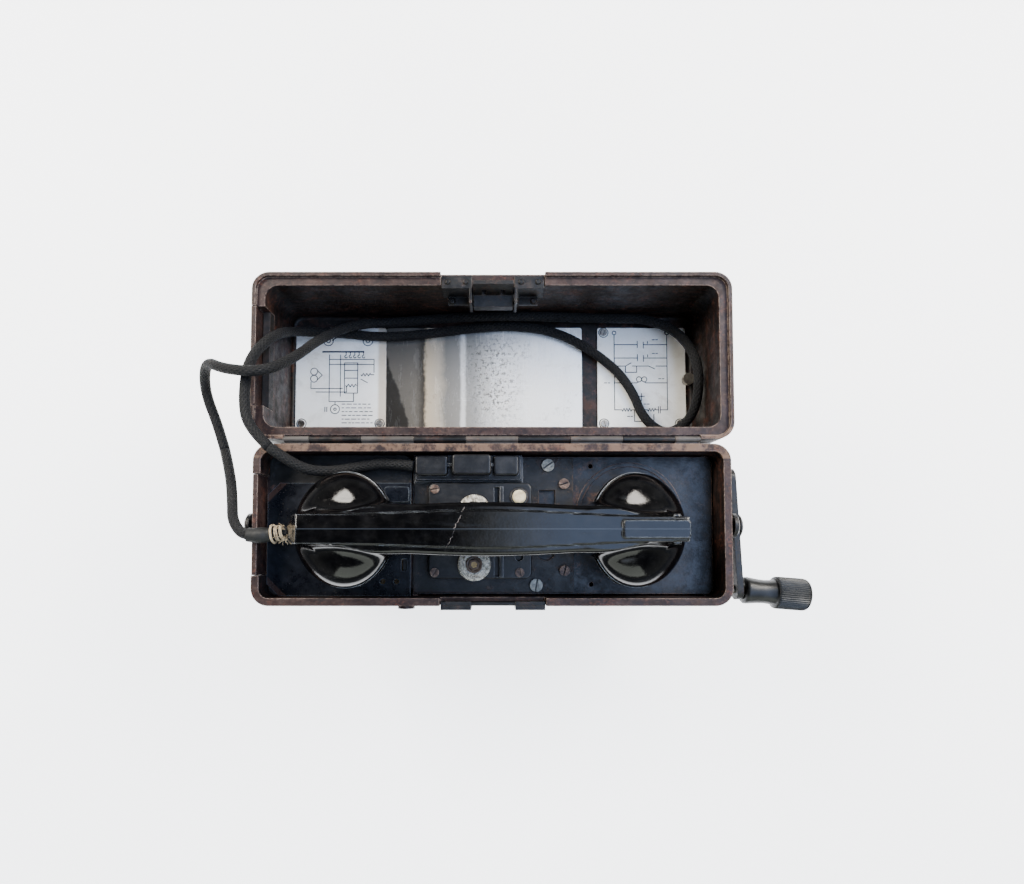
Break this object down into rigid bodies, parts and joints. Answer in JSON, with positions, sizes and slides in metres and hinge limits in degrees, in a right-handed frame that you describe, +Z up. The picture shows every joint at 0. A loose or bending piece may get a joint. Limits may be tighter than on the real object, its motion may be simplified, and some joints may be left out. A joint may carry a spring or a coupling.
{
  "type": "field telephone",
  "caption": "Portable wired telephone in a moulded case: folded-back lid, handset on a cord, plug, terminals and a side crank that drives a generator and bell.",
  "frame": {"origin": "middle of the rectangle that the case stands on, at the level of its feet", "axes": "+X along the case towards the crank, +Y from the latch side to the hinge side, +Z up"},
  "size_m": [0.3803, 0.2015, 0.1865],
  "materials": {
    "bakelite": "moulded, mottled, worn at the edges",
    "black_plastic": "polished black moulding",
    "satin_black": "satin black, greyed edges",
    "lacquer": "dark lacquer worn to brown",
    "black_metal": "blackened steel",
    "steel": "dull steel",
    "zinc": "zinc plated, dull",
    "nickel": "nickel plated, spotted",
    "brass": "aged brass",
    "ivory": "ivory moulding",
    "board": "laminated board",
    "rubber": "black rubber",
    "cord": "braided textile",
    "thread": "beige thread",
    "print_plate": "off-white, worn",
    "battery_case": "waxed card",
    "winding": "wound wire",
    "gong_metal": "bell metal"
  },
  "bodies": {
    "base": {"base_case": "bakelite", "hinge_leaf_base": "black_metal", "hinge_pin": "steel", "latch_keeper": "black_metal", "chassis_panel": "lacquer", "middle_plate": "board", "panel_screws": "zinc", "terminal_block": "satin_black", "terminal_studs": "brass", "socket_strip": "satin_black", "battery_tray": "satin_black", "battery_cover": "satin_black", "battery": "battery_case", "strap_studs": "steel", "generator_frame": "steel", "magnets": "black_metal", "crank_bearing": "steel", "ringer_frame": "steel", "ringer_coils": "winding", "gongs": "gong_metal", "induction_coil": "winding", "capacitor": "zinc", "cord_handset_end": "cord", "cord_plug_end": "cord"},
    "lid": {"lid_shell": "bakelite", "hinge_leaf_lid": "black_metal", "lid_flap_seal": "rubber", "diagram_plate_left": "print_plate", "polished_plate": "nickel", "diagram_plate_right": "print_plate", "plate_fasteners": "steel", "latch_bracket": "black_metal", "latch_pin": "steel", "latch_rivets": "brass", "cord_lid_loop": "cord"},
    "lid_flap": {"lid_side_flap": "bakelite"},
    "base_flap": {"base_side_flap": "bakelite"},
    "latch": {"latch_lever": "black_metal"},
    "crank": {"crank_shaft": "steel", "drive_gear": "brass", "crank_arm": "steel", "hub_nut": "steel", "knob_pin": "steel"},
    "knob": {"crank_knob": "black_plastic"},
    "armature": {"armature": "steel"},
    "handset": {"handset_body": "black_plastic", "ear_cap": "black_plastic", "mouth_cap": "black_plastic", "receiver_capsule": "steel", "transmitter_capsule": "steel", "key_pin": "steel", "cord_sleeve": "rubber", "cord_collar": "thread"},
    "talk_key": {"talk_key": "satin_black"},
    "plug": {"plug_body": "satin_black", "plug_pins": "brass"},
    "button": {"test_button": "ivory"},
    "back_nut": {"terminal_nut_back": "nickel"},
    "front_nut": {"terminal_nut_front": "nickel"},
    "hammer": {"bell_hammer": "brass"}
  },
  "joints": [
    {"name": "lid_hinge", "type": "hinge", "parent": "base", "child": "lid", "pos_m": [0, 0.0492, 0.149], "axis": [1, 0, 0], "range_deg": [0, 180], "deforming": ["cord_lid_loop", "cord_plug_end"]},
    {"name": "lid_flap_hinge", "type": "hinge", "parent": "lid", "child": "lid_flap", "pos_m": [-0.1386, 0.0984, 0.1341], "axis": [0, -1, 0], "range_deg": [0, 75]},
    {"name": "latch_pivot", "type": "hinge", "parent": "lid", "child": "latch", "pos_m": [0.0007, 0.1334, 0.137], "axis": [1, 0, 0], "range_deg": [0, 8]},
    {"name": "base_flap_hinge", "type": "hinge", "parent": "base", "child": "base_flap", "pos_m": [-0.1358, 0, 0.1344], "axis": [0, -1, 0], "range_deg": [0, 75]},
    {"name": "crank_spin", "type": "hinge", "parent": "base", "child": "crank", "pos_m": [0.1, 0, 0.105], "axis": [1, 0, 0], "continuous": true},
    {"name": "armature_spin", "type": "hinge", "parent": "base", "child": "armature", "pos_m": [0.1, 0, 0.078], "axis": [1, 0, 0], "continuous": true},
    {"name": "knob_spin", "type": "hinge", "parent": "crank", "child": "knob", "pos_m": [0.17506, -0.04207, 0.105], "axis": [0.9969, -0.0785, 0], "continuous": true},
    {"name": "handset_lift", "type": "slide", "parent": "base", "child": "handset", "axis": [0, 0, -1], "range_m": [-0.12, 0], "deforming": ["cord_handset_end"]},
    {"name": "talk_key_press", "type": "hinge", "parent": "handset", "child": "talk_key", "pos_m": [-0.02607, -0.0032, 0.16746], "axis": [0, -1, 0], "range_deg": [0, 2.2], "stiffness_Nm_per_rad": 0.8, "springref_deg": -11.46},
    {"name": "plug_pull", "type": "slide", "parent": "base", "child": "plug", "axis": [0, 0, -1], "range_m": [-0.03, 0]},
    {"name": "button_press", "type": "slide", "parent": "base", "child": "button", "axis": [0, 0, -1], "range_m": [0, 0.003], "stiffness_N_per_m": 250, "springref_m": -0.002},
    {"name": "back_nut_turn", "type": "hinge", "parent": "base", "child": "back_nut", "pos_m": [-0.0102, 0.0078, 0.145], "axis": [0, 0, 1], "range_deg": [0, 360]},
    {"name": "front_nut_turn", "type": "hinge", "parent": "base", "child": "front_nut", "pos_m": [-0.0102, -0.023, 0.145], "axis": [0, 0, 1], "range_deg": [0, 360]},
    {"name": "hammer_swing", "type": "hinge", "parent": "base", "child": "hammer", "pos_m": [0.0026, 0.01, 0.092], "axis": [0, 1, 0], "range_deg": [-0.8, 0.8]}
  ],
  "couplings": [
    {"joint": "armature_spin", "follows": "crank_spin", "ratio": -4}
  ]
}
